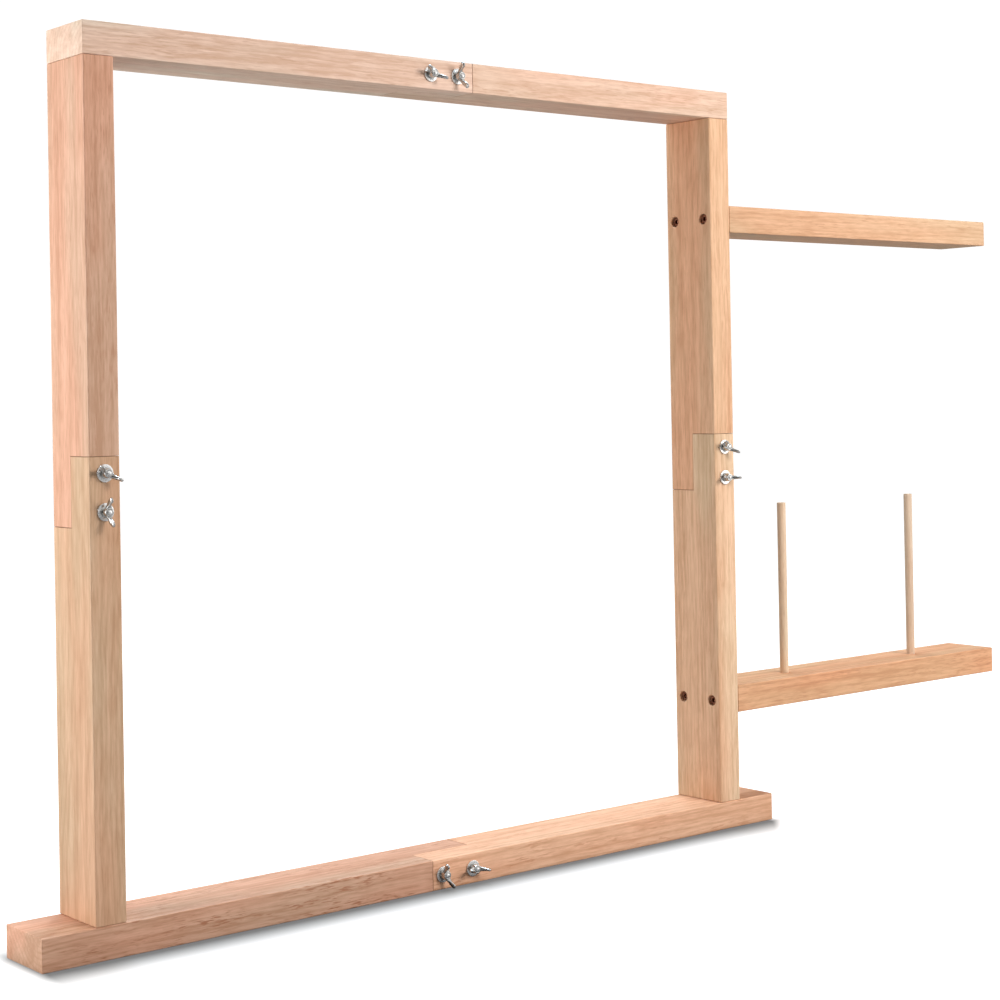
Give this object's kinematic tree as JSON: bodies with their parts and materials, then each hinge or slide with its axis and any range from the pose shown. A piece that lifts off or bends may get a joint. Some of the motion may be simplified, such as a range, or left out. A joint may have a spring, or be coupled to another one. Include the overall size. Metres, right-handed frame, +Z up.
{
  "type": "tufting frame loom",
  "caption": "Free-standing wooden tufting frame: lapped rails and posts joined by wing-nut bolts, with two yarn arms and loose cone pegs on its right side.",
  "frame": {"origin": "bottom centre of the whole object's box, on the floor under the base rail", "axes": "+X along the rails towards the yarn arms, -Y out of the front where the wing nuts are, +Z up"},
  "size_m": [1.6378, 0.109, 1.0276],
  "materials": {
    "base_rail_left_wood": "planed light hardwood, fine straight grain, unvarnished",
    "base_rail_right_wood": "planed light hardwood, fine straight grain, unvarnished",
    "left_post_lower_wood": "planed light hardwood, fine straight grain, unvarnished",
    "left_post_upper_wood": "planed light hardwood, fine straight grain, unvarnished",
    "right_post_lower_wood": "planed light hardwood, fine straight grain, unvarnished",
    "right_post_upper_wood": "planed light hardwood, fine straight grain, unvarnished",
    "top_rail_left_wood": "planed light hardwood, fine straight grain, unvarnished",
    "top_rail_right_wood": "planed light hardwood, fine straight grain, unvarnished",
    "upper_arm_wood": "planed light hardwood, fine straight grain, unvarnished",
    "lower_arm_wood": "planed light hardwood, fine straight grain, unvarnished",
    "peg_wood": "sanded pale dowel",
    "zinc_plated_steel": "bright zinc plate",
    "socket_bolt_steel": "dark bronzed steel",
    "insert_brass": "plain turned"
  },
  "bodies": {
    "frame": {"base_rail_left": "base_rail_left_wood", "base_rail_right": "base_rail_right_wood", "left_post_lower": "left_post_lower_wood", "left_post_upper": "left_post_upper_wood", "right_post_lower": "right_post_lower_wood", "right_post_upper": "right_post_upper_wood", "top_rail_left": "top_rail_left_wood", "top_rail_right": "top_rail_right_wood", "upper_arm": "upper_arm_wood", "lower_arm": "lower_arm_wood", "top_joint_left_bolt": "zinc_plated_steel", "top_joint_right_bolt": "zinc_plated_steel", "base_joint_left_bolt": "zinc_plated_steel", "base_joint_right_bolt": "zinc_plated_steel", "left_joint_upper_bolt": "zinc_plated_steel", "left_joint_lower_bolt": "zinc_plated_steel", "right_joint_upper_bolt": "zinc_plated_steel", "right_joint_lower_bolt": "zinc_plated_steel", "top_left_corner_bolt_front": "socket_bolt_steel", "top_left_corner_bolt_back": "socket_bolt_steel", "top_left_corner_insert_front": "insert_brass", "top_left_corner_insert_back": "insert_brass", "top_right_corner_bolt_front": "socket_bolt_steel", "top_right_corner_bolt_back": "socket_bolt_steel", "top_right_corner_insert_front": "insert_brass", "top_right_corner_insert_back": "insert_brass", "base_left_corner_bolt_front": "socket_bolt_steel", "base_left_corner_bolt_back": "socket_bolt_steel", "base_left_corner_insert_front": "insert_brass", "base_left_corner_insert_back": "insert_brass", "base_right_corner_bolt_front": "socket_bolt_steel", "base_right_corner_bolt_back": "socket_bolt_steel", "base_right_corner_insert_front": "insert_brass", "base_right_corner_insert_back": "insert_brass", "upper_arm_bolt_front": "socket_bolt_steel", "upper_arm_bolt_back": "socket_bolt_steel", "upper_arm_insert_front": "insert_brass", "upper_arm_insert_back": "insert_brass", "lower_arm_bolt_front": "socket_bolt_steel", "lower_arm_bolt_back": "socket_bolt_steel", "lower_arm_insert_front": "insert_brass", "lower_arm_insert_back": "insert_brass"},
    "top_joint_left_washer": {"top_joint_left_washer": "zinc_plated_steel"},
    "top_joint_left_wing_nut": {"top_joint_left_wing_nut": "zinc_plated_steel"},
    "top_joint_right_washer": {"top_joint_right_washer": "zinc_plated_steel"},
    "top_joint_right_wing_nut": {"top_joint_right_wing_nut": "zinc_plated_steel"},
    "base_joint_left_washer": {"base_joint_left_washer": "zinc_plated_steel"},
    "base_joint_left_wing_nut": {"base_joint_left_wing_nut": "zinc_plated_steel"},
    "base_joint_right_washer": {"base_joint_right_washer": "zinc_plated_steel"},
    "base_joint_right_wing_nut": {"base_joint_right_wing_nut": "zinc_plated_steel"},
    "left_joint_upper_washer": {"left_joint_upper_washer": "zinc_plated_steel"},
    "left_joint_upper_wing_nut": {"left_joint_upper_wing_nut": "zinc_plated_steel"},
    "left_joint_lower_washer": {"left_joint_lower_washer": "zinc_plated_steel"},
    "left_joint_lower_wing_nut": {"left_joint_lower_wing_nut": "zinc_plated_steel"},
    "right_joint_upper_washer": {"right_joint_upper_washer": "zinc_plated_steel"},
    "right_joint_upper_wing_nut": {"right_joint_upper_wing_nut": "zinc_plated_steel"},
    "right_joint_lower_washer": {"right_joint_lower_washer": "zinc_plated_steel"},
    "right_joint_lower_wing_nut": {"right_joint_lower_wing_nut": "zinc_plated_steel"},
    "inner_peg": {"inner_peg": "peg_wood"},
    "outer_peg": {"outer_peg": "peg_wood"}
  },
  "joints": [
    {"name": "top_joint_left_thread_travel", "type": "slide", "parent": "frame", "child": "top_joint_left_washer", "axis": [0, -1, 0], "range_m": [0, 0.007]},
    {"name": "top_joint_left_wing_nut_turn", "type": "hinge", "parent": "top_joint_left_washer", "child": "top_joint_left_wing_nut", "pos_m": [-0.2774, -0.03755, 1.00885], "axis": [0, -1, 0], "range_deg": [0, 2520]},
    {"name": "top_joint_right_thread_travel", "type": "slide", "parent": "frame", "child": "top_joint_right_washer", "axis": [0, -1, 0], "range_m": [0, 0.007]},
    {"name": "top_joint_right_wing_nut_turn", "type": "hinge", "parent": "top_joint_right_washer", "child": "top_joint_right_wing_nut", "pos_m": [-0.2354, -0.03755, 1.00885], "axis": [0, -1, 0], "range_deg": [0, 2520]},
    {"name": "base_joint_left_thread_travel", "type": "slide", "parent": "frame", "child": "base_joint_left_washer", "axis": [0, -1, 0], "range_m": [0, 0.007]},
    {"name": "base_joint_left_wing_nut_turn", "type": "hinge", "parent": "base_joint_left_washer", "child": "base_joint_left_wing_nut", "pos_m": [-0.2799, -0.03755, 0.01875], "axis": [0, -1, 0], "range_deg": [0, 2520]},
    {"name": "base_joint_right_thread_travel", "type": "slide", "parent": "frame", "child": "base_joint_right_washer", "axis": [0, -1, 0], "range_m": [0, 0.007]},
    {"name": "base_joint_right_wing_nut_turn", "type": "hinge", "parent": "base_joint_right_washer", "child": "base_joint_right_wing_nut", "pos_m": [-0.2329, -0.03755, 0.01875], "axis": [0, -1, 0], "range_deg": [0, 2520]},
    {"name": "left_joint_upper_thread_travel", "type": "slide", "parent": "frame", "child": "left_joint_upper_washer", "axis": [0, -1, 0], "range_m": [0, 0.007]},
    {"name": "left_joint_upper_wing_nut_turn", "type": "hinge", "parent": "left_joint_upper_washer", "child": "left_joint_upper_wing_nut", "pos_m": [-0.73565, -0.03755, 0.53125], "axis": [0, -1, 0], "range_deg": [0, 2520]},
    {"name": "left_joint_lower_thread_travel", "type": "slide", "parent": "frame", "child": "left_joint_lower_washer", "axis": [0, -1, 0], "range_m": [0, 0.007]},
    {"name": "left_joint_lower_wing_nut_turn", "type": "hinge", "parent": "left_joint_lower_washer", "child": "left_joint_lower_wing_nut", "pos_m": [-0.73565, -0.03755, 0.48875], "axis": [0, -1, 0], "range_deg": [0, 2520]},
    {"name": "right_joint_upper_thread_travel", "type": "slide", "parent": "frame", "child": "right_joint_upper_washer", "axis": [0, -1, 0], "range_m": [0, 0.007]},
    {"name": "right_joint_upper_wing_nut_turn", "type": "hinge", "parent": "right_joint_upper_washer", "child": "right_joint_upper_wing_nut", "pos_m": [0.22685, -0.03755, 0.53125], "axis": [0, -1, 0], "range_deg": [0, 2520]},
    {"name": "right_joint_lower_thread_travel", "type": "slide", "parent": "frame", "child": "right_joint_lower_washer", "axis": [0, -1, 0], "range_m": [0, 0.007]},
    {"name": "right_joint_lower_wing_nut_turn", "type": "hinge", "parent": "right_joint_lower_washer", "child": "right_joint_lower_wing_nut", "pos_m": [0.22685, -0.03755, 0.48875], "axis": [0, -1, 0], "range_deg": [0, 2520]},
    {"name": "inner_peg_lift", "type": "slide", "parent": "frame", "child": "inner_peg", "axis": [0, 0, 1], "range_m": [0, 0.03]},
    {"name": "outer_peg_lift", "type": "slide", "parent": "frame", "child": "outer_peg", "axis": [0, 0, 1], "range_m": [0, 0.03]}
  ],
  "couplings": [
    {"joint": "top_joint_left_thread_travel", "follows": "top_joint_left_wing_nut_turn", "m_per_rad": 0.00015915},
    {"joint": "top_joint_right_thread_travel", "follows": "top_joint_right_wing_nut_turn", "m_per_rad": 0.00015915},
    {"joint": "base_joint_left_thread_travel", "follows": "base_joint_left_wing_nut_turn", "m_per_rad": 0.00015915},
    {"joint": "base_joint_right_thread_travel", "follows": "base_joint_right_wing_nut_turn", "m_per_rad": 0.00015915},
    {"joint": "left_joint_upper_thread_travel", "follows": "left_joint_upper_wing_nut_turn", "m_per_rad": 0.00015915},
    {"joint": "left_joint_lower_thread_travel", "follows": "left_joint_lower_wing_nut_turn", "m_per_rad": 0.00015915},
    {"joint": "right_joint_upper_thread_travel", "follows": "right_joint_upper_wing_nut_turn", "m_per_rad": 0.00015915},
    {"joint": "right_joint_lower_thread_travel", "follows": "right_joint_lower_wing_nut_turn", "m_per_rad": 0.00015915}
  ]
}
